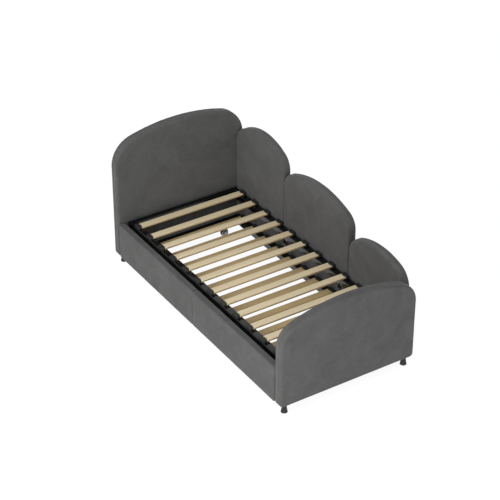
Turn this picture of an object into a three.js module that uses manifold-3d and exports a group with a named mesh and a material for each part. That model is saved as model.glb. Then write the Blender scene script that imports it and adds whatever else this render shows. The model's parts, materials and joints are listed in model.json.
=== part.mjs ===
// Upholstered children's day bed with a scalloped back and a pull-out trundle bed below its slats.
// Millimetres, +Z up. The origin is on the floor, under the middle of the bed.
// +X runs from the headboard to the footboard. The trundle pulls out towards -Y; the back stands at +Y.

import * as THREE from 'three';
import { mergeVertices } from 'three/addons/utils/BufferGeometryUtils.js';
import Module from 'manifold-3d';

const wasm = await Module();
wasm.setup();

// ---------- driving dimensions ----------

const innerLength = 1918; // between the end boards, for a 1900 mm mattress
const bedWidth = 1002; // trundle front to back of the lobes, also the width of the end boards
const contactGap = 0.3; // left between pieces that touch

const endBoardThickness = 72;
const endBoardEdge = 12; // radius of the padded edges
const endBoardCorner = 26; // radius of the bottom corners
const headboard = { height: 992, crownRadius: 1326, shoulderRadius: 202 };
const footboard = { height: 699, crownRadius: 1210, shoulderRadius: 150 };

const lobeThickness = 62;
const lobeEdge = 12;
const lobeCorner = 22;
const lobeCrownShift = 15; // each crown peaks a little towards the footboard
const headLobe = { height: 885, crownRadius: 454, shoulderRadius: 121 };
const middleLobe = { height: 814, crownRadius: 771, shoulderRadius: 113 };
const footLobe = { height: 696, crownRadius: 536, shoulderRadius: 139 };
const middleLobeLength = 750; // the other two lobes share the length that is left
const middleLobeShift = 10; // its middle from the middle of the bed, towards the footboard

const legHeight = 61;
const legTopRadius = 15;
const legBaseRadius = 22.5;
const legInset = 50; // leg axis in from the side of the end board

const slatCount = 12;
const slatWidth = 53;
const slatThickness = 14;
const slatEdge = 3;
const slatEndMargin = 6; // slat end in from the outer face of its holder

const holderLength = 35;
const holderNose = 8; // how far the lip bows out over the slat
const holderWall = 3;
const holderLip = 4.5; // thickness over the slat
const holderStripWidth = 8;

const railHeight = 42;
const railWall = 2;
const sideRailWidth = 50;
const endRailWidth = 41;

const deckHeight = 343; // top of the upper slats
const deckFrontGap = 29.7; // deck frame in from the trundle front
const deckEndSlatGap = 44.2; // between an end rail and the nearest slat

const trundleDeckHeight = 147; // top of the lower slats
const trundleEndSlatGap = 19;
const trundleEndGap = 28; // trundle frame in from each end board
const trundleBackGap = 3; // trundle frame in from the lobes
const trundleShift = 15; // middle of the trundle frame from the middle of the bed, towards the footboard

const frontThickness = 46;
const frontEdge = 6;
const frontCorner = 8;
const frontBottom = 68;
const frontTop = 331;
const frontEndGap = 5; // trundle front in from each end board
const frontSeam = 2; // between the two halves of the trundle front

const wheelRadius = 28;
const wheelWidth = 22;
const wheelWebWidth = 10;
const hubRadius = 10;
const rimRadius = 20;
const wheelShoulder = 4;
const axleRadius = 4;
const axleClearance = 0.3;
const wheelSideGap = 1;
const casterReach = 300; // caster axis from the middle of the bed, along Y
const forkPlate = { length: 60, thickness: 3 };
const forkCheek = { thickness: 3, topLength: 44, bottomRadius: 13 };

const bracketReach = 320; // bracket from the middle of the bed, along X
const bracket = { width: 60, height: 95, depth: 40, thickness: 3 };
const boltHead = { radius: 6.5, height: 4, spacing: 32 };

const panelArcSteps = 6; // facets in half of each panel arc
const turnedFacets = 16; // facets round the wheels and legs, a multiple of four

// ---------- materials ----------

const material = (color, roughness, metalness = 0) =>
  new THREE.MeshStandardMaterial({ color, roughness, metalness });

const fabric = material('#5a5957', 0.95);
const birch = material('#c9b78f', 0.6);
const blackSteel = material('#0b0b0c', 0.25, 0.4);
const blackPlastic = material('#202124', 0.45);
const casterTyre = material('#19191a', 0.6);

// ---------- places worked out from the dimensions ----------

const half = (value) => value / 2;
const boardInner = half(innerLength);
const backInner = half(bedWidth) - lobeThickness;
const frontInner = -half(bedWidth) + frontThickness;

const deckFrame = {
  middle: 0,
  length: innerLength - 2 * contactGap,
  near: frontInner + deckFrontGap,
  far: backInner - contactGap,
  slatTop: deckHeight,
  endSlatGap: deckEndSlatGap,
};
const trundleFrame = {
  middle: trundleShift,
  length: innerLength - 2 * trundleEndGap,
  near: frontInner + contactGap,
  far: backInner - trundleBackGap,
  slatTop: trundleDeckHeight,
  endSlatGap: trundleEndSlatGap,
};
const railTopOf = (frame) => frame.slatTop - slatThickness - holderWall - 2 * contactGap;

// ---------- solid helpers ----------

const bed = new THREE.Group();

function add(name, geometry, look) {
  const mesh = new THREE.Mesh(geometry, look);
  mesh.name = name;
  bed.add(mesh);
  return mesh;
}

function place(mesh, x, y, z) {
  mesh.position.set(x, y, z);
  return mesh;
}

function toManifold(geometry) {
  const bare = geometry.clone();
  bare.deleteAttribute('normal');
  bare.deleteAttribute('uv');
  const merged = mergeVertices(bare, 1e-4);
  return new wasm.Manifold(new wasm.Mesh({
    numProp: 3,
    vertProperties: new Float32Array(merged.attributes.position.array),
    triVerts: new Uint32Array(merged.index.array),
  }));
}

function toGeometry(solid) {
  const { vertProperties, triVerts } = solid.getMesh();
  const geometry = new THREE.BufferGeometry();
  geometry.setAttribute('position', new THREE.BufferAttribute(vertProperties, 3));
  geometry.setIndex(new THREE.BufferAttribute(triVerts, 1));
  return geometry;
}

const join = (geometries) =>
  toGeometry(geometries.map(toManifold).reduce((whole, piece) => whole.add(piece)));

function boxBetween([x0, y0, z0], [x1, y1, z1]) {
  const box = new THREE.BoxGeometry(x1 - x0, y1 - y0, z1 - z0);
  return box.translate(half(x0 + x1), half(y0 + y1), half(z0 + z1));
}

// Turns an outline's (x, y) and its extrusion into the bed's axes.
const axisX = new THREE.Vector3(1, 0, 0);
const axisY = new THREE.Vector3(0, 1, 0);
const axisZ = new THREE.Vector3(0, 0, 1);
const outlineYZ = new THREE.Matrix4().makeBasis(axisY, axisZ, axisX);
const outlineXZ = new THREE.Matrix4().makeBasis(axisX, axisZ, axisY.clone().negate());

// A flat outline given a thickness, its faces meeting its rim in rounded edges.
// The thickness is centred on the outline's plane.
function paddedPanel(outline, thickness, edge, basis) {
  const geometry = new THREE.ExtrudeGeometry(outline, {
    depth: thickness - 2 * edge,
    curveSegments: panelArcSteps,
    bevelThickness: edge,
    bevelSize: edge,
    bevelOffset: -edge,
    bevelSegments: 2,
  });
  return geometry.translate(0, 0, edge - half(thickness)).applyMatrix4(basis);
}

// An outline with a flat base, upright sides and an arched top, drawn anticlockwise.
// The crown arc is tangent to both shoulder arcs, and they are tangent to the sides.
function archOutline({ left, right, bottom, top, crownX, crownRadius, shoulderRadius, corner }) {
  const crownZ = top - crownRadius;
  const reach = crownRadius - shoulderRadius;
  const shoulder = (x) => {
    const across = x - crownX;
    const up = Math.sqrt(reach ** 2 - across ** 2);
    return { x, z: crownZ + up, angle: Math.atan2(up, across) };
  };
  const rightArc = shoulder(right - shoulderRadius);
  const leftArc = shoulder(left + shoulderRadius);
  const outline = new THREE.Shape();
  outline.absarc(left + corner, bottom + corner, corner, Math.PI, 1.5 * Math.PI, false);
  outline.absarc(right - corner, bottom + corner, corner, -0.5 * Math.PI, 0, false);
  outline.absarc(rightArc.x, rightArc.z, shoulderRadius, 0, rightArc.angle, false);
  outline.absarc(crownX, crownZ, crownRadius, rightArc.angle, leftArc.angle, false);
  outline.absarc(leftArc.x, leftArc.z, shoulderRadius, leftArc.angle, Math.PI, false);
  outline.closePath();
  return outline;
}

function roundedRectangle(left, right, bottom, top, radius) {
  const outline = new THREE.Shape();
  outline.absarc(left + radius, bottom + radius, radius, Math.PI, 1.5 * Math.PI, false);
  outline.absarc(right - radius, bottom + radius, radius, -0.5 * Math.PI, 0, false);
  outline.absarc(right - radius, top - radius, radius, 0, 0.5 * Math.PI, false);
  outline.absarc(left + radius, top - radius, radius, 0.5 * Math.PI, Math.PI, false);
  outline.closePath();
  return outline;
}

// ---------- end boards and legs ----------

function endBoard(name, side, { height, crownRadius, shoulderRadius }) {
  const outline = archOutline({
    left: -half(bedWidth),
    right: half(bedWidth),
    bottom: legHeight,
    top: height,
    crownX: 0,
    crownRadius,
    shoulderRadius,
    corner: endBoardCorner,
  });
  const panel = paddedPanel(outline, endBoardThickness, endBoardEdge, outlineYZ);
  place(add(name, panel, fabric), side * (boardInner + half(endBoardThickness)), 0, 0);
}

function leg(name, sideX, sideY) {
  const height = legHeight - contactGap;
  const foot = 1.5; // small round at the floor
  const profile = [
    new THREE.Vector2(0, 0),
    new THREE.Vector2(legBaseRadius - foot, 0),
    new THREE.Vector2(legBaseRadius, foot),
    new THREE.Vector2(legTopRadius, height),
    new THREE.Vector2(0, height),
  ];
  const solid = new THREE.LatheGeometry(profile, turnedFacets).rotateX(half(Math.PI));
  const x = sideX * (boardInner + half(endBoardThickness));
  place(add(name, solid, blackPlastic), x, sideY * (half(bedWidth) - legInset), 0);
}

// ---------- scalloped back ----------

function lobe(name, left, right, { height, crownRadius, shoulderRadius }) {
  const outline = archOutline({
    left,
    right,
    bottom: legHeight,
    top: height,
    crownX: half(left + right) + lobeCrownShift,
    crownRadius,
    shoulderRadius,
    corner: lobeCorner,
  });
  const panel = paddedPanel(outline, lobeThickness, lobeEdge, outlineXZ);
  place(add(name, panel, fabric), 0, half(bedWidth) - half(lobeThickness), 0);
}

function scallopedBack() {
  const end = boardInner - contactGap;
  const headSeam = middleLobeShift - half(middleLobeLength);
  const footSeam = middleLobeShift + half(middleLobeLength);
  lobe('back_lobe_head', -end, headSeam - contactGap, headLobe);
  lobe('back_lobe_middle', headSeam, footSeam, middleLobe);
  lobe('back_lobe_foot', footSeam + contactGap, end, footLobe);
}

// ---------- steel frames, slats and slat holders ----------

// A pressed channel, open below, centred on its own length.
function channel(width, length, basis) {
  const side = half(width);
  const inner = side - railWall;
  const outline = new THREE.Shape();
  outline.moveTo(-side, -railHeight);
  outline.lineTo(-inner, -railHeight);
  outline.lineTo(-inner, -railWall);
  outline.lineTo(inner, -railWall);
  outline.lineTo(inner, -railHeight);
  outline.lineTo(side, -railHeight);
  outline.lineTo(side, 0);
  outline.lineTo(-side, 0);
  outline.closePath();
  const solid = new THREE.ExtrudeGeometry(outline, { depth: length, bevelEnabled: false });
  return solid.translate(0, 0, -half(length)).applyMatrix4(basis);
}

function steelFrame(prefix, frame) {
  const top = railTopOf(frame);
  const nearY = frame.near + half(sideRailWidth);
  const farY = frame.far - half(sideRailWidth);
  const endX = half(frame.length) - half(endRailWidth);
  const endLength = farY - nearY - sideRailWidth - 2 * contactGap;
  const side = () => channel(sideRailWidth, frame.length, outlineYZ);
  const end = () => channel(endRailWidth, endLength, outlineXZ);
  const { middle } = frame;
  place(add(`${prefix}_rail_near`, side(), blackSteel), middle, nearY, top);
  place(add(`${prefix}_rail_far`, side(), blackSteel), middle, farY, top);
  place(add(`${prefix}_rail_head`, end(), blackSteel), middle - endX, half(nearY + farY), top);
  place(add(`${prefix}_rail_foot`, end(), blackSteel), middle + endX, half(nearY + farY), top);
}

// Slat centres along X from the middle of the frame, evenly spaced between the two end rails.
function slatPlaces(frame) {
  const last = half(frame.length) - endRailWidth - frame.endSlatGap - half(slatWidth);
  const pitch = (2 * last) / (slatCount - 1);
  return Array.from({ length: slatCount }, (_, index) => index * pitch - last);
}

function slats(prefix, frame) {
  const near = frame.near + slatEndMargin;
  const far = frame.far - slatEndMargin;
  const outline = roundedRectangle(-half(slatWidth), half(slatWidth), -slatThickness, 0, slatEdge);
  slatPlaces(frame).forEach((x, index) => {
    const solid = new THREE.ExtrudeGeometry(outline, {
      depth: far - near,
      curveSegments: 1,
      bevelEnabled: false,
    });
    solid.translate(0, 0, -half(far - near)).applyMatrix4(outlineXZ);
    const name = `${prefix}_slat_${String(index + 1).padStart(2, '0')}`;
    place(add(name, solid, birch), frame.middle + x, half(near + far), frame.slatTop);
  });
}

// One plastic end holder, from its outer face at y = 0 to its bowed lip, with a slot for the slat.
function holder(x) {
  const slotSide = half(slatWidth) + contactGap;
  const side = slotSide + holderWall;
  const straight = holderLength - holderNose;
  const noseRadius = (side ** 2 + holderNose ** 2) / (2 * holderNose);
  const noseAngle = Math.asin(side / noseRadius);
  const outline = new THREE.Shape();
  outline.moveTo(-side, 0);
  outline.lineTo(side, 0);
  outline.lineTo(side, straight);
  outline.absarc(
    0,
    holderLength - noseRadius,
    noseRadius,
    half(Math.PI) - noseAngle,
    half(Math.PI) + noseAngle,
    false,
  );
  outline.closePath();
  const slotHeight = slatThickness + 2 * contactGap;
  const height = holderWall + slotHeight + holderLip;
  const body = new THREE.ExtrudeGeometry(outline, {
    depth: height,
    curveSegments: 2,
    bevelEnabled: false,
  });
  const slot = boxBetween(
    [-slotSide, slatEndMargin - contactGap, holderWall],
    [slotSide, 2 * holderLength, holderWall + slotHeight],
  );
  return toManifold(body.translate(x, 0, 0)).subtract(toManifold(slot.translate(x, 0, 0)));
}

// All the holders of one rail, on the strip that ties them together.
function holderStrip(name, frame, isFar) {
  const places = slatPlaces(frame);
  const end = places.at(-1);
  const strip = boxBetween([-end, 1, 0], [end, holderStripWidth, holderWall]);
  const solid = places.reduce((whole, x) => whole.add(holder(x)), toManifold(strip));
  const mesh = add(name, toGeometry(solid), blackPlastic);
  mesh.rotation.z = isFar ? Math.PI : 0;
  place(mesh, frame.middle, isFar ? frame.far : frame.near, railTopOf(frame) + contactGap);
}

function slattedDeck(prefix, frame) {
  steelFrame(prefix, frame);
  slats(prefix, frame);
  holderStrip(`${prefix}_holders_near`, frame, false);
  holderStrip(`${prefix}_holders_far`, frame, true);
}

// ---------- back brackets ----------

// Angle plate under the far rail, its upright leaf bolted to the back.
function backBracket(name, x) {
  const top = railTopOf(deckFrame) - railHeight - contactGap;
  const { width, height, depth, thickness } = bracket;
  const side = half(width);
  const face = deckFrame.far - thickness;
  const upright = boxBetween([-side, face, top - height], [side, deckFrame.far, top]);
  const shelf = boxBetween([-side, deckFrame.far - depth, top - thickness], [side, deckFrame.far, top]);
  const bolts = [-1, 1].map((sign) => {
    const length = boltHead.height + half(thickness); // the head runs on into the plate
    const head = new THREE.CylinderGeometry(boltHead.radius, boltHead.radius, length, 6);
    const y = face - boltHead.height + half(length);
    return head.translate(sign * half(boltHead.spacing), y, top - half(height));
  });
  place(add(name, join([upright, shelf, ...bolts]), blackSteel), x, 0, 0);
}

// ---------- trundle front and casters ----------

function trundleFront(name, left, right) {
  const outline = roundedRectangle(left, right, frontBottom, frontTop, frontCorner);
  const panel = paddedPanel(outline, frontThickness, frontEdge, outlineXZ);
  place(add(name, panel, fabric), 0, frontInner - half(frontThickness), 0);
}

function trundleFronts() {
  const end = boardInner - frontEndGap;
  trundleFront('trundle_front_head', -end, -half(frontSeam));
  trundleFront('trundle_front_foot', half(frontSeam), end);
}

const casterPlaces = () => {
  const reach = half(trundleFrame.length) - half(endRailWidth);
  const head = trundleFrame.middle - reach;
  const foot = trundleFrame.middle + reach;
  return [
    ['head_near', head, -casterReach],
    ['head_far', head, casterReach],
    ['foot_near', foot, -casterReach],
    ['foot_far', foot, casterReach],
  ];
};

// Side plate of a fork: straight at the top, tapering to a round end about the axle.
function cheek(x, top) {
  const { thickness, topLength, bottomRadius } = forkCheek;
  const outline = new THREE.Shape();
  outline.moveTo(half(topLength), top);
  outline.lineTo(-half(topLength), top);
  outline.absarc(0, 0, bottomRadius, Math.PI, 2 * Math.PI, false);
  outline.closePath();
  const solid = new THREE.ExtrudeGeometry(outline, {
    depth: thickness,
    curveSegments: 5,
    bevelEnabled: false,
  });
  return solid.translate(0, 0, x - half(thickness)).applyMatrix4(outlineYZ);
}

// The fork is drawn about its axle: mounting plate, two cheeks and the axle between them.
function casterFork(name, x, y) {
  const top = railTopOf(trundleFrame) - railHeight - contactGap - wheelRadius;
  const cheekX = half(wheelWidth) + wheelSideGap + half(forkCheek.thickness);
  const width = 2 * cheekX + forkCheek.thickness;
  const plate = boxBetween(
    [-half(width), -half(forkPlate.length), top - forkPlate.thickness],
    [half(width), half(forkPlate.length), top],
  );
  const axle = new THREE.CylinderGeometry(axleRadius, axleRadius, width, 12).rotateZ(half(Math.PI));
  const cheekTop = top - half(forkPlate.thickness);
  const solid = join([plate, cheek(-cheekX, cheekTop), cheek(cheekX, cheekTop), axle]);
  place(add(name, solid, blackSteel), x, y, wheelRadius);
}

function casterWheel(name, x, y) {
  const bore = axleRadius + axleClearance;
  const side = half(wheelWidth);
  const web = half(wheelWebWidth);
  const rightHalf = [
    [bore, side],
    [hubRadius, side],
    [hubRadius, web],
    [rimRadius, web],
    [rimRadius, side],
    [wheelRadius - wheelShoulder, side],
    [wheelRadius, side - wheelShoulder],
  ];
  const leftHalf = rightHalf.map(([radius, across]) => [radius, -across]).reverse();
  const profile = [...rightHalf, ...leftHalf, rightHalf[0]];
  const points = profile.map(([radius, across]) => new THREE.Vector2(radius, -across));
  const solid = new THREE.LatheGeometry(points, turnedFacets).rotateZ(half(Math.PI));
  place(add(name, solid, casterTyre), x, y, wheelRadius);
}

// ---------- the bed ----------

endBoard('headboard', -1, headboard);
endBoard('footboard', 1, footboard);
scallopedBack();
leg('leg_head_near', -1, -1);
leg('leg_head_far', -1, 1);
leg('leg_foot_near', 1, -1);
leg('leg_foot_far', 1, 1);
slattedDeck('deck', deckFrame);
backBracket('back_bracket_head', -bracketReach);
backBracket('back_bracket_foot', bracketReach);

trundleFronts();
slattedDeck('trundle', trundleFrame);
for (const [corner, x, y] of casterPlaces()) {
  casterFork(`caster_fork_${corner}`, x, y);
  casterWheel(`caster_wheel_${corner}`, x, y);
}

export default bed;
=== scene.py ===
"""Looks of an upholstered children's day bed with a pull-out trundle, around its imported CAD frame.

Metres, +Z up, origin on the floor under the middle of the bed. +X runs from the headboard to the
footboard, the trundle pulls out towards -Y and the scalloped back stands at +Y.
"""

import json
import math

import bmesh
import bpy
import numpy as np
from mathutils import Matrix, Vector, noise
from mathutils.bvhtree import BVHTree


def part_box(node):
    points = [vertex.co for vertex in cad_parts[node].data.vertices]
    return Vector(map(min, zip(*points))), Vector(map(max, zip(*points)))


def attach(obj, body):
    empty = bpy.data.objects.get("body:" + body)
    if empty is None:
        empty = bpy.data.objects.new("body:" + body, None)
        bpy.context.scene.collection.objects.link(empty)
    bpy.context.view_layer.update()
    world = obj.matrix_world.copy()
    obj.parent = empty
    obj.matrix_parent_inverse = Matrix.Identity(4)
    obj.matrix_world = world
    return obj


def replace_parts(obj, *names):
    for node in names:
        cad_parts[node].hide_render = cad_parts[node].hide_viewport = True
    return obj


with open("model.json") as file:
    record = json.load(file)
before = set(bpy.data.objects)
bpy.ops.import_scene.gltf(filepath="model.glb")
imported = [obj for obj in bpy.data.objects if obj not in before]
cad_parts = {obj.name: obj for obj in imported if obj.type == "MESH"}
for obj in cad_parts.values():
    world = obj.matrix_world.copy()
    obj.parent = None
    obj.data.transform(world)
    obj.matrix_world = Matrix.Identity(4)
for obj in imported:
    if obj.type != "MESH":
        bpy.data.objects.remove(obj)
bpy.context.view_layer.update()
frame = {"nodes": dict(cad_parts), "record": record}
BODIES = frame["record"]["behaviour"]["bodies"]
BODY_OF = {node: body for body, nodes in BODIES.items() for node in nodes}

# ---------- camera ----------
CAMERA_TARGET = Vector((-0.076, -0.011, 0.433))
CAMERA_DISTANCE = 11.28
CAMERA_AZIMUTH = 57.26
CAMERA_ELEVATION = 32.92
CAMERA_ROLL = 0.08
CAMERA_LENS = 125.0

# ---------- stage ----------
FLOOR_GLOW = 0.93
WORLD_LIGHT = 0.8
KEY_POWER = 355
KEY_SIZE = 4.0
KEY_PLACE = (1.3, -5.1, 5.0)
FILL_POWER = 125
FILL_SIZE = 0.9
FILL_PLACE = (4.2, -2.6, 0.42)
LIGHT_AIM = (0, 0, 0.3)
FLOOR_DROP = 0.0002  # the floor lies this far under the feet

# ---------- padded panels ----------
VOXEL = 0.008
FRONT_VOXEL = 0.005
SHRINK = 0.0005  # each side of a cover starts this far inside its CAD solid
SWELL_LIMIT = 0.006  # the most that a point of a cover may move as it swells
FRONT_SWELL_LIMIT = 0.0025
SWELL_FRAMES = 20
PRESSURE = 4.0
FOAM_HOLD = 0.92  # how far the foam draws a swollen cover back to its CAD solid's shape
RIPPLE = 0.0006  # height of the cover's slow unevenness
RIPPLE_LENGTH = 0.07
SEAM_SHARE = 0.34  # depth of the rim seam, as a share of the thickness from the inner face
SEAM_HALF_WIDTH = 0.0045
SEAM_DEPTH = 0.0022
WELT_RADIUS = 0.0016
WELT_PITCH = 0.006
STITCH_PITCH = 0.0075
STITCH_LENGTH = 0.0048
STITCH_RADIUS = 0.0005
STITCH_OFFSET = 0.0075

# ---------- hard parts ----------
CAP_CORNER = 0.0065  # rounding of a slat holder in plan
CAP_EDGE = 0.0045  # rounding of its top edge
CAP_NOSE = 0.008  # how far its lip bows out over the slat
CAP_SIDE = 0.003  # its wall beside the slat
SLOT_GAP = 0.0003
STRIP_WIDTH = 0.008
STRIP_HEIGHT = 0.0026
PRESSED_EDGE = 0.0008
RAIL_BEND = 0.0035
RAIL_WALL = 0.002
SLAT_EDGE = 0.003
SLAT_STATIONS = 13
TURNED_FACETS = 64
POINTED = 0.0001  # radius that closes the end of a turned solid
WASHER = 0.0012
BOLT_FACE = 0.0073  # seat of a bracket's bolts in from the back of the bracket
BOLT_REACH = 0.016  # bolt axis from the middle of its bracket

X_AXIS = Vector((1, 0, 0))


# ---------- node materials ----------
class Recipe:
    """One material's nodes, ending in a Principled shader."""

    def __init__(self, name, settings):
        self.material = bpy.data.materials.new(name)
        self.material.use_nodes = True
        self.tree = self.material.node_tree
        self.shader = self.tree.nodes["Principled BSDF"]
        self.place = self.node("ShaderNodeTexCoord").outputs["Object"]
        self.fill(self.shader, settings)

    def fill(self, node, values):
        for key, value in values.items():
            socket = node.inputs[key]
            if isinstance(value, bpy.types.NodeSocket):
                self.tree.links.new(value, socket)
            else:
                socket.default_value = value

    def node(self, kind, values=None, **choices):
        made = self.tree.nodes.new(kind)
        for key, value in choices.items():
            setattr(made, key, value)
        self.fill(made, values or {})
        return made

    def stretched(self, scale, turn=(0, 0, 0)):
        """The object's own coordinates, turned and scaled."""
        values = {"Vector": self.place, "Scale": scale, "Rotation": turn}
        return self.node("ShaderNodeMapping", values).outputs["Vector"]

    def noise(self, scale, detail=3.0, roughness=0.55, distortion=0.0, turn=(0, 0, 0)):
        values = {
            "Vector": self.stretched(scale, turn),
            "Scale": 1.0,
            "Detail": detail,
            "Roughness": roughness,
            "Distortion": distortion,
        }
        return self.node("ShaderNodeTexNoise", values).outputs["Fac"]

    def ramp(self, value, stops):
        """Colours at given values, blended between."""
        made = self.node("ShaderNodeValToRGB", {"Fac": value})
        elements = made.color_ramp.elements
        for index, (position, colour) in enumerate(stops):
            element = elements[index] if index < 2 else elements.new(position)
            element.position = position
            element.color = (*colour, 1)
        return made.outputs["Color"]

    def remap(self, value, low, high, new_low, new_high):
        values = {
            "Value": value,
            "From Min": low,
            "From Max": high,
            "To Min": new_low,
            "To Max": new_high,
        }
        return self.node("ShaderNodeMapRange", values).outputs["Result"]

    def sum(self, one, other, operation="ADD"):
        return self.node("ShaderNodeMath", {0: one, 1: other}, operation=operation).outputs[0]

    def mix(self, share, one, other, blend_type="MIX"):
        values = {"Factor": share, 6: one, 7: other}
        made = self.node("ShaderNodeMix", data_type="RGBA", blend_type=blend_type)
        self.fill(made, values)
        return made.outputs[2]

    def bump(self, height, distance, strength=1.0):
        values = {"Height": height, "Distance": distance, "Strength": strength}
        normal = self.node("ShaderNodeBump", values).outputs["Normal"]
        self.fill(self.shader, {"Normal": normal})

    def finish(self, **sockets):
        """Links or sets shader sockets named in words joined by underscores."""
        self.fill(self.shader, {key.replace("_", " "): value for key, value in sockets.items()})
        return self.material


def velvet():
    """Dark grey velvet: brushed patches, short nap streaks and a fine pile."""
    recipe = Recipe(
        "velvet",
        {
            "Sheen Weight": 0.16,
            "Sheen Roughness": 0.4,
            "Sheen Tint": (0.8, 0.8, 0.8, 1),
            "Specular IOR Level": 0.12,
        },
    )
    patches = recipe.noise((7, 7, 7), detail=5, roughness=0.6, distortion=0.8)
    streaks = recipe.noise((46, 46, 90), detail=5, roughness=0.7, distortion=1.2, turn=(0.7, 0.7, 0.4))
    pile = recipe.noise((700, 700, 700), detail=2)
    brushed = recipe.sum(recipe.sum(patches, streaks), 0.5, "MULTIPLY")
    colour = recipe.ramp(brushed, [(0.32, (0.050, 0.0497, 0.0492)), (0.68, (0.084, 0.0836, 0.083))])
    flecked = recipe.mix(recipe.remap(pile, 0.3, 0.7, 0.0, 0.35), colour, (0.048, 0.048, 0.0477, 1))
    recipe.bump(pile, 0.0006, 0.5)
    return recipe.finish(Base_Color=flecked, Roughness=recipe.remap(patches, 0.3, 0.7, 0.95, 0.8))


def thread():
    """Grey sewing thread and piping with a fine twist."""
    recipe = Recipe("thread", {"Sheen Weight": 0.2, "Specular IOR Level": 0.3, "Roughness": 0.75})
    twist = recipe.noise((900, 900, 900), detail=2)
    recipe.bump(twist, 0.0003, 0.6)
    colour = recipe.ramp(twist, [(0.3, (0.07, 0.07, 0.069)), (0.7, (0.12, 0.12, 0.118))])
    return recipe.finish(Base_Color=colour)


def birch(name, painted_shade_tint):
    """Pale laminated birch: long grain on the faces, ply layers on the edges in darker colours that partly
    paint the edges' shade, the whole multiplied by the given tint, which paints shade where it is not
    white.
    """
    recipe = Recipe(name, {"Specular IOR Level": 0.4, "Coat Weight": 0.08, "Coat Roughness": 0.3})
    grain = recipe.noise((140, 3.2, 60), detail=5, roughness=0.62, distortion=0.25)
    figure = recipe.noise((24, 1.1, 12), detail=3, roughness=0.5, distortion=0.8)
    pores = recipe.noise((950, 30, 950), detail=2, roughness=0.5)
    face = recipe.ramp(
        recipe.sum(recipe.sum(grain, figure), 0.5, "MULTIPLY"),
        [(0.34, (0.446, 0.367, 0.232)), (0.5, (0.509, 0.428, 0.282)), (0.66, (0.556, 0.474, 0.322))],
    )
    height = recipe.node("ShaderNodeSeparateXYZ", {"Vector": recipe.place}).outputs["Z"]
    layers = recipe.node("ShaderNodeMath", {0: height, 1: 0.0023}, operation="PINGPONG").outputs[0]
    # Edge colours: real ply layers, and darker than the faces as painted shade on the side faces.
    side = recipe.mix(
        recipe.remap(layers, 0.0, 0.0023, 0.0, 1.0),
        (0.34, 0.235, 0.115, 1),
        (0.42, 0.315, 0.17, 1),
    )
    # Faces that look up or down get the face colours; side faces get the darker edge colours, partly
    # painted shade.
    normal = recipe.node("ShaderNodeNewGeometry").outputs["Normal"]
    upright = recipe.node("ShaderNodeSeparateXYZ", {"Vector": normal}).outputs["Z"]
    on_face = recipe.remap(recipe.sum(upright, 0.0, "ABSOLUTE"), 0.5, 0.8, 0.0, 1.0)
    # The tint multiplies the whole wood; for the trundle slats it is darker and warmer, painted shade of
    # the deck above.
    body = recipe.mix(1.0, recipe.mix(on_face, side, face), (*painted_shade_tint, 1), "MULTIPLY")
    pored = recipe.mix(recipe.remap(pores, 0.58, 0.75, 0.0, 0.35), body, (0.34, 0.24, 0.12, 1))
    recipe.bump(recipe.sum(grain, pores), 0.0003, 0.35)
    return recipe.finish(Base_Color=pored, Roughness=recipe.remap(grain, 0.3, 0.7, 0.5, 0.66))


def gloss_black():
    """Gloss black powder coat with a trace of orange peel and dust."""
    recipe = Recipe("gloss_black", {"Specular IOR Level": 0.5})
    peel = recipe.noise((260, 260, 260), detail=2)
    dust = recipe.noise((35, 35, 35), detail=5, roughness=0.7)
    recipe.bump(peel, 0.0001, 0.03)
    colour = recipe.ramp(dust, [(0.4, (0.0012, 0.0012, 0.0013)), (0.75, (0.0025, 0.0025, 0.0027))])
    return recipe.finish(Base_Color=colour, Roughness=recipe.remap(dust, 0.3, 0.7, 0.07, 0.13))


def moulded_black(name, shade):
    """Moulded black plastic with a spark-eroded grain."""
    recipe = Recipe(name, {"Specular IOR Level": 0.25})
    grain = recipe.noise((850, 850, 850), detail=2)
    wear = recipe.noise((60, 60, 60), detail=4, roughness=0.7)
    recipe.bump(grain, 0.0002, 0.2)
    colour = recipe.ramp(wear, [(0.4, (shade,) * 3), (0.7, (shade * 1.3,) * 3)])
    return recipe.finish(Base_Color=colour, Roughness=recipe.remap(wear, 0.3, 0.7, 0.36, 0.44))


def rubber():
    """Black caster tyre, a little dusty on its tread."""
    recipe = Recipe("rubber", {"Specular IOR Level": 0.35})
    scuffs = recipe.noise((120, 120, 120), detail=4, roughness=0.7)
    recipe.bump(scuffs, 0.0002, 0.5)
    colour = recipe.ramp(scuffs, [(0.35, (0.012, 0.012, 0.012)), (0.75, (0.03, 0.03, 0.03))])
    return recipe.finish(Base_Color=colour, Roughness=recipe.remap(scuffs, 0.3, 0.7, 0.6, 0.8))


def pale_plastic():
    """Pale grey moulded wheel core."""
    recipe = Recipe("pale_plastic", {"Specular IOR Level": 0.45})
    grain = recipe.noise((400, 400, 400), detail=2)
    recipe.bump(grain, 0.0002, 0.4)
    colour = recipe.ramp(grain, [(0.35, (0.5, 0.5, 0.5)), (0.7, (0.62, 0.62, 0.61))])
    return recipe.finish(Base_Color=colour, Roughness=0.45)


def zinc():
    """Bright zinc-plated fasteners with a crystalline plating."""
    recipe = Recipe("zinc", {"Metallic": 1.0})
    plating = recipe.node(
        "ShaderNodeTexVoronoi", {"Vector": recipe.stretched((420, 420, 420)), "Scale": 1.0}
    ).outputs["Distance"]
    recipe.bump(plating, 0.0001, 0.3)
    colour = recipe.ramp(plating, [(0.1, (0.30, 0.31, 0.33)), (0.8, (0.42, 0.43, 0.45))])
    return recipe.finish(Base_Color=colour, Roughness=recipe.remap(plating, 0.0, 1.0, 0.24, 0.4))


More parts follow.
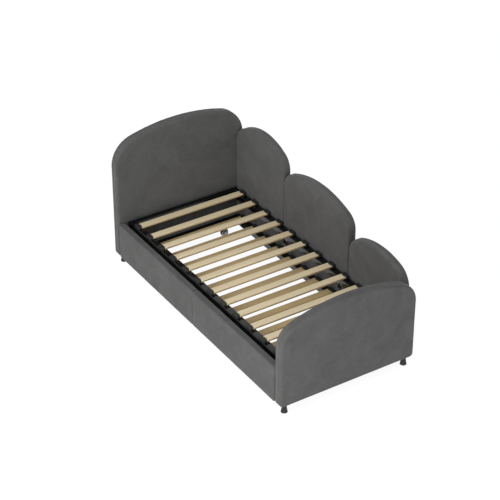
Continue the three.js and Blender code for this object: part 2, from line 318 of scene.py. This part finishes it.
def studio_floor():
    """Plain pale floor that glows a little, so that shadows on it stay faint."""
    recipe = Recipe("studio_floor", {"Roughness": 0.9, "Specular IOR Level": 0.1})
    cloud = recipe.noise((0.7, 0.7, 0.7), detail=2)
    colour = recipe.ramp(cloud, [(0.3, (0.09, 0.09, 0.09)), (0.7, (0.1, 0.1, 0.1))])
    recipe.fill(recipe.shader, {"Emission Color": (1, 1, 1, 1), "Emission Strength": FLOOR_GLOW})
    return recipe.finish(Base_Color=colour)


# ---------- mesh helpers ----------
def along(axis, value):
    """A vector with one component."""
    vector = Vector((0, 0, 0))
    vector[axis] = value
    return vector


def coordinates(mesh):
    flat = np.empty(len(mesh.vertices) * 3, np.float32)
    mesh.vertices.foreach_get("co", flat)
    return flat.reshape(-1, 3)


def put_coordinates(mesh, points):
    mesh.vertices.foreach_set("co", np.asarray(points, np.float32).ravel())
    mesh.update()


def show(piece):
    bpy.context.scene.collection.objects.link(piece)
    return piece


def baked(piece):
    """Applies the piece's modifiers to its mesh."""
    depsgraph = bpy.context.evaluated_depsgraph_get()
    mesh = bpy.data.meshes.new_from_object(piece.evaluated_get(depsgraph))
    piece.modifiers.clear()
    piece.data = mesh
    return mesh


def dressed(piece, look, body, sharp_angle=None):
    """Gives a finished mesh its material, smooth shading, body and material slot."""
    piece.data.materials.clear()
    piece.data.materials.append(look)
    piece.data.shade_smooth()
    if sharp_angle:
        piece.data.set_sharp_from_angle(angle=math.radians(sharp_angle))
    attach(piece, body)
    return piece


def from_bmesh(name, bm):
    bmesh.ops.recalc_face_normals(bm, faces=bm.faces)
    mesh = bpy.data.meshes.new(name)
    bm.to_mesh(mesh)
    bm.free()
    return show(bpy.data.objects.new(name, mesh))


def node_bmesh(node):
    """The CAD node's solid with its flat faces whole again."""
    bm = bmesh.new()
    bm.from_mesh(frame["nodes"][node].data)
    bmesh.ops.remove_doubles(bm, verts=bm.verts, dist=1e-5)
    bmesh.ops.dissolve_limit(bm, angle_limit=math.radians(1), verts=bm.verts, edges=bm.edges)
    return bm


def softened_copy(node, name, radius, segments=3):
    """The CAD node's shape with its sharp edges rounded, in place of the node."""
    bm = node_bmesh(node)
    sharp = [e for e in bm.edges if len(e.link_faces) == 2 and e.calc_face_angle() > math.radians(30)]
    bmesh.ops.bevel(
        bm, geom=sharp, offset=radius, segments=segments, profile=0.5, affect="EDGES", clamp_overlap=True
    )
    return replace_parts(from_bmesh(name, bm), node)


def loft(bm, rings, closed=False):
    """Joins rings of points into a skin, and closes its ends or joins the last ring to the first."""
    made = [[bm.verts.new(point) for point in ring] for ring in rings]
    count = len(made[0])
    pairs = list(zip(made, made[1:]))
    if closed:
        pairs.append((made[-1], made[0]))
    for one, other in pairs:
        for index in range(count):
            following = (index + 1) % count
            bm.faces.new((one[index], one[following], other[following], other[index]))
    if not closed:
        bm.faces.new(made[0][::-1])
        bm.faces.new(made[-1])


def turned(bm, profile, centre, axis, facets=TURNED_FACETS):
    """A solid of revolution from (distance along the axis, radius) points, axis 0 for X or 2 for Z."""
    rings = []
    for distance, radius in profile:
        ring = []
        for step in range(facets):
            angle = 2 * math.pi * step / facets
            point = along(axis, distance)
            point[(axis + 1) % 3] = radius * math.cos(angle)
            point[(axis + 2) % 3] = radius * math.sin(angle)
            ring.append(centre + point)
        rings.append(ring)
    loft(bm, rings)


def arc(centre, radius, start, end, steps):
    """Points of a flat arc, angles in degrees."""
    angles = [math.radians(start + (end - start) * step / steps) for step in range(steps + 1)]
    return [(centre[0] + radius * math.cos(a), centre[1] + radius * math.sin(a)) for a in angles]


def tube(bm, points, radius, sides=8, closed=True):
    """A round cord along a line of points."""
    rings = []
    count = len(points)
    for index, point in enumerate(points):
        before = points[index - 1] if closed or index else point
        after = points[(index + 1) % count] if closed or index < count - 1 else point
        ahead = (after - before).normalized()
        aside = ahead.orthogonal() if index == 0 else (aside - ahead * aside.dot(ahead))
        aside.normalize()
        across = ahead.cross(aside)
        turns = [2 * math.pi * side / sides for side in range(sides)]
        rings.append([point + radius * (aside * math.cos(t) + across * math.sin(t)) for t in turns])
    if closed:
        rings.append(rings.pop(0))
    loft(bm, rings, closed)


# ---------- padded panels ----------
def thin_axis(node):
    low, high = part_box(node)
    size = high - low
    return min(range(3), key=lambda axis: size[axis])


def is_front(node):
    return node.startswith("trundle_front_")


def shrunk_copy(node):
    """The panel's solid drawn in a little on every side and remeshed evenly."""
    low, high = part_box(node)
    middle = (low + high) / 2
    size = high - low
    scale = Matrix.Diagonal([1 - 2 * SHRINK / extent for extent in size]).to_4x4()
    bm = node_bmesh(node)
    about_middle = Matrix.Translation(middle) @ scale @ Matrix.Translation(-middle)
    bmesh.ops.transform(bm, verts=bm.verts, matrix=about_middle)
    cover = from_bmesh(f"{node}_cover", bm)
    remesh = cover.modifiers.new("remesh", "REMESH")
    remesh.mode = "VOXEL"
    remesh.voxel_size = FRONT_VOXEL if is_front(node) else VOXEL
    remesh.adaptivity = 0
    baked(cover)
    return cover


def swell(covers):
    """Blows the covers up together as cloth, then limits how far each point went."""
    for cover in covers.values():
        cloth = cover.modifiers.new("cloth", "CLOTH")
        cloth.settings.quality = 4
        cloth.settings.mass = 0.3
        cloth.settings.use_pressure = True
        cloth.settings.uniform_pressure_force = PRESSURE
        cloth.settings.effector_weights.gravity = 0
        cloth.collision_settings.use_collision = False
    scene = bpy.context.scene
    for step in range(1, SWELL_FRAMES + 1):
        scene.frame_set(step)
    depsgraph = bpy.context.evaluated_depsgraph_get()
    for node, cover in covers.items():
        limit = FRONT_SWELL_LIMIT if is_front(node) else SWELL_LIMIT
        rest = coordinates(cover.data)
        moved = coordinates(cover.evaluated_get(depsgraph).data) - rest
        cover.modifiers.clear()
        distance = np.maximum(np.linalg.norm(moved, axis=1, keepdims=True), 1e-9)
        share = limit * np.tanh(distance / limit) / distance
        put_coordinates(cover.data, rest + moved * share)
    scene.frame_set(1)


def held_by_foam(cover, node):
    """One subdivision, then each point is drawn most of the way back to the CAD solid's surface."""
    cover.modifiers.new("round", "SUBSURF").levels = 1
    points = coordinates(baked(cover))
    foam = node_bmesh(node)
    surface = BVHTree.FromBMesh(foam)
    foam.free()
    nearest = np.array([surface.find_nearest(point)[0] for point in points.tolist()])
    put_coordinates(cover.data, points + (nearest - points) * FOAM_HOLD)


def rippled(cover):
    """The slow unevenness of fabric over foam."""
    mesh = cover.data
    points = coordinates(mesh)
    normals = np.array([v.normal for v in mesh.vertices], np.float32)
    heights = [noise.noise(Vector(p) / RIPPLE_LENGTH) for p in points.tolist()]
    put_coordinates(mesh, points + normals * (RIPPLE * np.array(heights))[:, None])


def ordered_ring(edges):
    """The (position, normal) of each vertex round a closed ring of edges."""
    start = edges[0].verts[0]
    ring, came_by, vertex = [], None, start
    wanted = set(edges)
    while True:
        ring.append((vertex.co.copy(), vertex.normal.copy()))
        step = next((e for e in vertex.link_edges if e in wanted and e is not came_by), None)
        if step is None:
            return ring
        vertex, came_by = step.other_vert(vertex), step
        if vertex is start:
            return ring


def cut_round(bm, axis, depth):
    """Cuts the cover's rim at one depth and returns the ring of points on the cut."""
    reach = 3 * VOXEL
    near = [f for f in bm.faces if abs(f.calc_center_median()[axis] - depth) < reach]
    parts = list({v for f in near for v in f.verts}) + list({e for f in near for e in f.edges}) + near
    cut = bmesh.ops.bisect_plane(
        bm, geom=parts, dist=1e-6, plane_co=along(axis, depth), plane_no=along(axis, 1)
    )
    edges = [part for part in cut["geom_cut"] if isinstance(part, bmesh.types.BMEdge)]
    bm.normal_update()
    return ordered_ring(edges)


def respaced(points, pitch):
    """The same closed line with its points an even pitch apart."""
    lengths = [0.0]
    closed = [*points, points[0]]
    for one, other in zip(closed, closed[1:]):
        lengths.append(lengths[-1] + (other[0] - one[0]).length)
    count = max(8, round(lengths[-1] / pitch))
    spaced, index = [], 0
    for step in range(count):
        goal = lengths[-1] * step / count
        while lengths[index + 1] < goal:
            index += 1
        share = (goal - lengths[index]) / max(lengths[index + 1] - lengths[index], 1e-9)
        one, other = closed[index], closed[index + 1]
        spaced.append((one[0].lerp(other[0], share), one[1].lerp(other[1], share)))
    return spaced


def seam_groove(bm, axis, depth):
    """Sinks the cover along a seam and returns the seam's line."""
    line = cut_round(bm, axis, depth)
    for side in (-1, 1):
        cut_round(bm, axis, depth + side * SEAM_HALF_WIDTH)
        cut_round(bm, axis, depth + side * SEAM_HALF_WIDTH / 2)
    for vertex in bm.verts:
        share = abs(vertex.co[axis] - depth) / SEAM_HALF_WIDTH
        if share < 1:
            vertex.co -= vertex.normal * (SEAM_DEPTH * (1 - share**2) ** 2)
    return respaced(line, WELT_PITCH)


def welt_of(name, seam):
    """The piping laid in a seam."""
    bm = bmesh.new()
    sink = SEAM_DEPTH - WELT_RADIUS * 0.9
    tube(bm, [point - normal * sink for point, normal in seam], WELT_RADIUS)
    return from_bmesh(name, bm)


def stitches_of(name, line):
    """A row of separate stitches along a line on the cover."""
    bm = bmesh.new()
    places = respaced(line, STITCH_PITCH)
    for (point, normal), (following, _) in zip(places, places[1:]):
        ahead = (following - point).normalized() * STITCH_LENGTH
        dip = normal * STITCH_RADIUS
        arch = [
            point - dip,
            point + ahead * 0.15 + dip * 0.4,
            point + ahead / 2 + dip * 0.7,
            point + ahead * 0.85 + dip * 0.4,
            point + ahead - dip,
        ]
        tube(bm, arch, STITCH_RADIUS, sides=5, closed=False)
    return from_bmesh(name, bm)


def sewn(cover, node):
    """A piped and stitched seam round the panel's rim."""
    axis = thin_axis(node)
    low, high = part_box(node)
    inward = -1 if (low + high)[axis] > 0 else 1
    inner = high[axis] if inward > 0 else low[axis]
    thickness = (high - low)[axis]
    bm = bmesh.new()
    bm.from_mesh(cover.data)
    depth = inner - inward * thickness * SEAM_SHARE
    row = cut_round(bm, axis, depth + inward * STITCH_OFFSET)
    seam = seam_groove(bm, axis, depth)
    dressed(welt_of(f"{node}_welt", seam), LOOKS["thread"], BODY_OF[node])
    dressed(stitches_of(f"{node}_stitches", row), LOOKS["thread"], BODY_OF[node])
    bm.to_mesh(cover.data)
    bm.free()


def panels(nodes):
    """The padded covers."""
    covers = {node: shrunk_copy(node) for node in nodes}
    swell(covers)
    for node, cover in covers.items():
        held_by_foam(cover, node)
        rippled(cover)
        if not is_front(node):
            sewn(cover, node)
        dressed(cover, LOOKS["velvet"], BODY_OF[node])
        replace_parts(cover, node)


# ---------- slats, rails and holders ----------
def rounded_section(width, height, radius, steps=4):
    """Corner points of a rounded rectangle about the origin."""
    across, up = width / 2 - radius, height / 2 - radius
    corners = [(across, up, 0), (-across, up, 90), (-across, -up, 180), (across, -up, 270)]
    return [point for x, z, start in corners for point in arc((x, z), radius, start, start + 90, steps)]


def slat(node):
    """A slat with rounded edges, its ends eased, lying along Y."""
    low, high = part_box(node)
    middle, size = (low + high) / 2, high - low
    rings = []
    for step in range(SLAT_STATIONS + 1):
        y = low.y + size.y * step / SLAT_STATIONS
        eased = 0.0006 if step in (0, SLAT_STATIONS) else 0.0
        section = rounded_section(size.x - 2 * eased, size.z - 2 * eased, SLAT_EDGE)
        rings.append([Vector((middle.x + x, y, middle.z + z)) for x, z in section])
    bm = bmesh.new()
    loft(bm, rings)
    piece = from_bmesh(f"{node}_laminate", bm)
    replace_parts(piece, node)
    # Trundle slats take the darker, warmer copy of the birch, which is painted shade.
    look = LOOKS["shade_darkened_trundle_birch"] if node.startswith("trundle_") else LOOKS["birch"]
    return dressed(piece, look, BODY_OF[node], sharp_angle=40)


def channel_section(width, height):
    """Half-round bends at the top corners and the open legs below."""
    side, wall, bend = width / 2, RAIL_WALL, RAIL_BEND
    outer = arc((side - bend, -bend), bend, 0, 90, 5) + arc((bend - side, -bend), bend, 90, 180, 5)
    inner_bend = bend - wall
    inner = arc((bend - side, -bend), inner_bend, 180, 90, 4)
    inner += arc((side - bend, -bend), inner_bend, 90, 0, 4)
    outside = [(side, -height), *outer, (-side, -height)]
    return [*outside, (wall - side, -height), *inner, (side - wall, -height)]


def rail(node):
    """A pressed channel, open below, with round bends."""
    low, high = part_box(node)
    middle, size = (low + high) / 2, high - low
    run = 0 if size.x > size.y else 1
    section = channel_section(size[1 - run], size.z)
    rings = []
    for end in (low[run], high[run]):
        ring = []
        for across, down in section:
            point = Vector((middle.x, middle.y, high.z + down))
            point[run] = end
            point[1 - run] += across
            ring.append(point)
        rings.append(ring)
    bm = bmesh.new()
    loft(bm, rings)
    piece = from_bmesh(f"{node}_channel", bm)
    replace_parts(piece, node)
    return dressed(piece, LOOKS["gloss_black"], BODY_OF[node], sharp_angle=35)


def rounded_outline(corners, radius, inset, steps=4):
    """A convex outline, drawn anticlockwise, with its corners rounded and drawn in by inset."""
    sides = [(after - corner).normalized() for corner, after in zip(corners, corners[1:] + corners[:1])]
    facings = [Vector((side.y, -side.x)) for side in sides]
    outline = []
    for index, corner in enumerate(corners):
        before, after = facings[index - 1], facings[index]
        halfway = (before + after).normalized()
        centre = corner - halfway * (radius / halfway.dot(after))
        for step in range(steps + 1):
            outline.append(centre + before.lerp(after, step / steps).normalized() * (radius - inset))
    return outline


def holder_corners(half_width, depth):
    """A holder in plan: its outer face at zero, its sides, and a lip that bows out."""
    straight = depth - CAP_NOSE
    nose_radius = (half_width**2 + CAP_NOSE**2) / (2 * CAP_NOSE)
    spread = math.degrees(math.asin(half_width / nose_radius))
    nose = arc((0, depth - nose_radius), nose_radius, 90 - spread, 90 + spread, 6)
    return [Vector(point) for point in [(-half_width, 0), (half_width, 0), *nose]]


def block(bm, low, high):
    corners = [(low.x, low.y), (high.x, low.y), (high.x, high.y), (low.x, high.y)]
    loft(bm, [[Vector((x, y, z)) for x, y in corners] for z in (low.z, high.z)])


def carved(piece, tool_bm, operation):
    """Joins the tool's solids to the piece or cuts them out of it."""
    tool = from_bmesh("tool", tool_bm)
    cut = piece.modifiers.new("cut", "BOOLEAN")
    cut.operation = operation
    cut.solver = "EXACT"
    cut.object = tool
    baked(piece)
    bpy.data.objects.remove(tool)


def holder_row(prefix, side):
    """A row of moulded slat holders on their strip, each a rounded cap with a slot for a slat."""
    node = f"{prefix}_holders_{side}"
    low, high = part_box(node)
    inward, face = (1, low.y) if side == "near" else (-1, high.y)
    caps, slots, strip = bmesh.new(), bmesh.new(), bmesh.new()
    levels = [(low.z, 0)]
    levels += [(high.z - CAP_EDGE + rise, CAP_EDGE - out) for out, rise in arc((0, 0), CAP_EDGE, 0, 90, 5)]
    for slat_node in nodes_named(f"{prefix}_slat_"):
        slat_low, slat_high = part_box(slat_node)
        middle = (slat_low.x + slat_high.x) / 2
        half_width = slat_high.x - middle + SLOT_GAP + CAP_SIDE
        corners = holder_corners(half_width, high.y - low.y)
        rings = []
        for z, inset in levels:
            outline = rounded_outline(corners, CAP_CORNER, inset)
            rings.append([Vector((middle + p.x, face + inward * p.y, z)) for p in outline])
        loft(caps, rings)
        gap = Vector((SLOT_GAP, SLOT_GAP, SLOT_GAP))
        block(slots, slat_low - gap, slat_high + gap)
    ends = [face + inward * 0.001, face + inward * STRIP_WIDTH]
    block(
        strip,
        Vector((low.x + CAP_CORNER, min(ends), low.z)),
        Vector((high.x - CAP_CORNER, max(ends), low.z + STRIP_HEIGHT)),
    )
    piece = from_bmesh(f"{node}_moulded", caps)
    carved(piece, strip, "UNION")
    carved(piece, slots, "DIFFERENCE")
    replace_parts(piece, node)
    return dressed(piece, LOOKS["holder_black"], BODY_OF[node], sharp_angle=50)


def nodes_named(start):
    return sorted(node for node in frame["nodes"] if node.startswith(start))


def decks():
    for prefix in ("deck", "trundle"):
        for node in nodes_named(f"{prefix}_slat_"):
            slat(node)
        for node in nodes_named(f"{prefix}_rail_"):
            rail(node)
        for side in ("near", "far"):
            holder_row(prefix, side)


# ---------- legs, brackets and casters ----------
def leg(node):
    """A turned foot that flares to a round base with a glide under it."""
    low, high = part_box(node)
    centre = Vector(((low.x + high.x) / 2, (low.y + high.y) / 2, low.z))
    base, height = (high.x - low.x) / 2, high.z - low.z
    top = base * 0.65
    profile = [(0.0, POINTED), (0.0, base - 0.0035), (0.0004, base - 0.003)]
    profile += [(x, radius) for x, radius in arc((0.003, base - 0.0022), 0.0022, 210, 90, 6)]
    for share in (0.12, 0.22, 0.34, 0.48, 0.64, 0.82, 0.94):
        profile.append((height * share, top + (base - top) * (1 - share) ** 1.6))
    profile += [(height - 0.002, top), (height - 0.0006, top - 0.0006)]
    profile += [(height, top - 0.002), (height, POINTED)]
    bm = bmesh.new()
    turned(bm, profile, centre, 2)
    piece = from_bmesh(f"{node}_turned", bm)
    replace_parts(piece, node)
    return dressed(piece, LOOKS["leg_black"], BODY_OF[node], sharp_angle=40)


def hex_head(bm, centre, axis, out, across=0.010, height=0.0035):
    """A hexagon bolt head on its washer. It stands out along the axis, in the direction of out."""
    washer = [
        (0, POINTED),
        (0, across * 0.62),
        (out * 0.0009, across * 0.66),
        (out * WASHER, across * 0.6),
        (out * WASHER, POINTED),
    ]
    turned(bm, washer, centre, axis, 32)
    radius = across / math.sqrt(3)
    head = [
        (WASHER - 0.0001, POINTED),
        (WASHER, radius),
        (height * 0.8, radius),
        (height, radius * 0.86),
        (height, POINTED),
    ]
    turned(bm, [(out * distance, size) for distance, size in head], centre, axis, 6)


def back_bracket(node):
    plate = softened_copy(node, f"{node}_pressed", PRESSED_EDGE)
    dressed(plate, LOOKS["gloss_black"], BODY_OF[node], sharp_angle=40)
    low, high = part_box(node)
    middle = (low + high) / 2
    face = high.y - BOLT_FACE
    bm = bmesh.new()
    for side in (-1, 1):
        hex_head(bm, Vector((middle.x + side * BOLT_REACH, face, middle.z)), 1, -1)
    bolts = from_bmesh(f"{node}_bolts", bm)
    return dressed(bolts, LOOKS["zinc"], BODY_OF[node], sharp_angle=30)


def caster(corner):
    """Fork, axle bolt, tyre, pale core and hub of one caster."""
    fork = f"caster_fork_{corner}"
    wheel = f"caster_wheel_{corner}"
    plate = softened_copy(fork, f"{fork}_pressed", PRESSED_EDGE)
    dressed(plate, LOOKS["gloss_black"], BODY_OF[fork], sharp_angle=40)
    low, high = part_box(wheel)
    centre, radius, side = (low + high) / 2, (high.z - low.z) / 2, (high.x - low.x) / 2
    fork_low, fork_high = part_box(fork)
    bm = bmesh.new()
    for end, out in ((fork_low.x, -1), (fork_high.x, 1)):
        hex_head(bm, Vector((end, centre.y, centre.z)), 0, out, 0.011, 0.0035)
    bolt = from_bmesh(f"{fork}_axle_bolt", bm)
    dressed(bolt, LOOKS["zinc"], BODY_OF[fork], sharp_angle=30)
    body = BODY_OF[wheel]
    tyre = turned_ring(
        f"{wheel}_tyre", centre, rounded_section(2 * side, radius * 0.24, radius * 0.1, 6), radius * 0.88
    )
    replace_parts(tyre, wheel)
    dressed(tyre, LOOKS["rubber"], body)
    core = turned_ring(
        f"{wheel}_core", centre, rounded_section(2 * side - 0.003, radius * 0.2, 0.0015, 3), radius * 0.68
    )
    dressed(core, LOOKS["pale_plastic"], body)
    web = wheel_web(f"{wheel}_web", centre, radius, side)
    dressed(web, LOOKS["holder_black"], body, sharp_angle=35)


def turned_ring(name, centre, section, radius):
    """A closed ring about X with the given (along X, outward) section."""
    rings = []
    for step in range(TURNED_FACETS):
        angle = 2 * math.pi * step / TURNED_FACETS
        out = Vector((0, math.cos(angle), math.sin(angle)))
        rings.append([centre + X_AXIS * x + out * (radius + rise) for x, rise in section])
    bm = bmesh.new()
    loft(bm, rings, closed=True)
    return from_bmesh(name, bm)


def wheel_web(name, centre, radius, side):
    """Hub, thin web and six ribs inside the pale core."""
    bm = bmesh.new()
    hub, bore, web = radius * 0.34, radius * 0.155, side * 0.3
    profile = [(-side + 0.001, bore), (-side + 0.001, hub), (-web, hub), (-web, radius * 0.6)]
    profile += [(-along_x, out) for along_x, out in profile[::-1]]
    rings = []
    for step in range(TURNED_FACETS):
        angle = 2 * math.pi * step / TURNED_FACETS
        out = Vector((0, math.cos(angle), math.sin(angle)))
        rings.append([centre + X_AXIS * x + out * size for x, size in profile])
    loft(bm, rings, closed=True)
    for rib in range(6):
        turn = Matrix.Rotation(2 * math.pi * rib / 6, 3, "X")
        section = rounded_section(1.3 * side, 0.0026, 0.001, 2)
        ends = (hub * 0.95, radius * 0.6)
        loft(bm, [[centre + turn @ Vector((x, z, end)) for x, z in section] for end in ends])
    return from_bmesh(name, bm)


# ---------- stage ----------
def set_camera():
    data = bpy.data.cameras.new("camera")
    data.lens = CAMERA_LENS
    data.clip_end = 100
    camera = show(bpy.data.objects.new("camera", data))
    azimuth, elevation = math.radians(CAMERA_AZIMUTH), math.radians(CAMERA_ELEVATION)
    back = Vector(
        (
            math.sin(azimuth) * math.cos(elevation),
            -math.cos(azimuth) * math.cos(elevation),
            math.sin(elevation),
        )
    )
    turn = (-back).to_track_quat("-Z", "Y").to_matrix().to_4x4()
    roll = Matrix.Rotation(math.radians(CAMERA_ROLL), 4, "Z")
    camera.matrix_world = Matrix.Translation(CAMERA_TARGET + back * CAMERA_DISTANCE) @ turn @ roll
    bpy.context.scene.camera = camera


def soft_light(name, power, size, place):
    """A square soft box aimed at the middle of the bed."""
    light = bpy.data.lights.new(name, "AREA")
    light.energy = power
    light.size = size
    lamp = show(bpy.data.objects.new(name, light))
    lamp.location = place
    lamp.rotation_euler = (Vector(LIGHT_AIM) - lamp.location).to_track_quat("-Z", "Y").to_euler()


def set_stage():
    bpy.context.scene.view_settings.view_transform = "Standard"
    world = bpy.data.worlds.new("studio")
    world.use_nodes = True
    world.node_tree.nodes["Background"].inputs["Color"].default_value = (1, 1, 1, 1)
    world.node_tree.nodes["Background"].inputs["Strength"].default_value = WORLD_LIGHT
    bpy.context.scene.world = world
    bm = bmesh.new()
    bmesh.ops.create_grid(bm, x_segments=24, y_segments=24, size=60)
    floor = from_bmesh("studio_floor", bm)
    floor.location.z = -FLOOR_DROP
    floor.data.materials.append(studio_floor())
    soft_light("key", KEY_POWER, KEY_SIZE, KEY_PLACE)
    soft_light("low_fill", FILL_POWER, FILL_SIZE, FILL_PLACE)


set_camera()
LOOKS = {
    "velvet": velvet(),
    "thread": thread(),
    "birch": birch("birch", (1.0, 1.0, 1.0)),
    # The trundle slats get a darker, warmer copy of the birch: painted shade from the deck above them.
    "shade_darkened_trundle_birch": birch("shade_darkened_trundle_birch", (0.92, 0.82, 0.66)),
    "gloss_black": gloss_black(),
    "holder_black": moulded_black("holder_black", 0.016),
    "leg_black": moulded_black("leg_black", 0.010),
    "rubber": rubber(),
    "pale_plastic": pale_plastic(),
    "zinc": zinc(),
}
panels(["headboard", "footboard", *nodes_named("back_lobe_"), *nodes_named("trundle_front_")])
decks()
for leg_node in nodes_named("leg_"):
    leg(leg_node)
for bracket_node in nodes_named("back_bracket_"):
    back_bracket(bracket_node)
for wheel_node in nodes_named("caster_wheel_"):
    caster(wheel_node.removeprefix("caster_wheel_"))
set_stage()
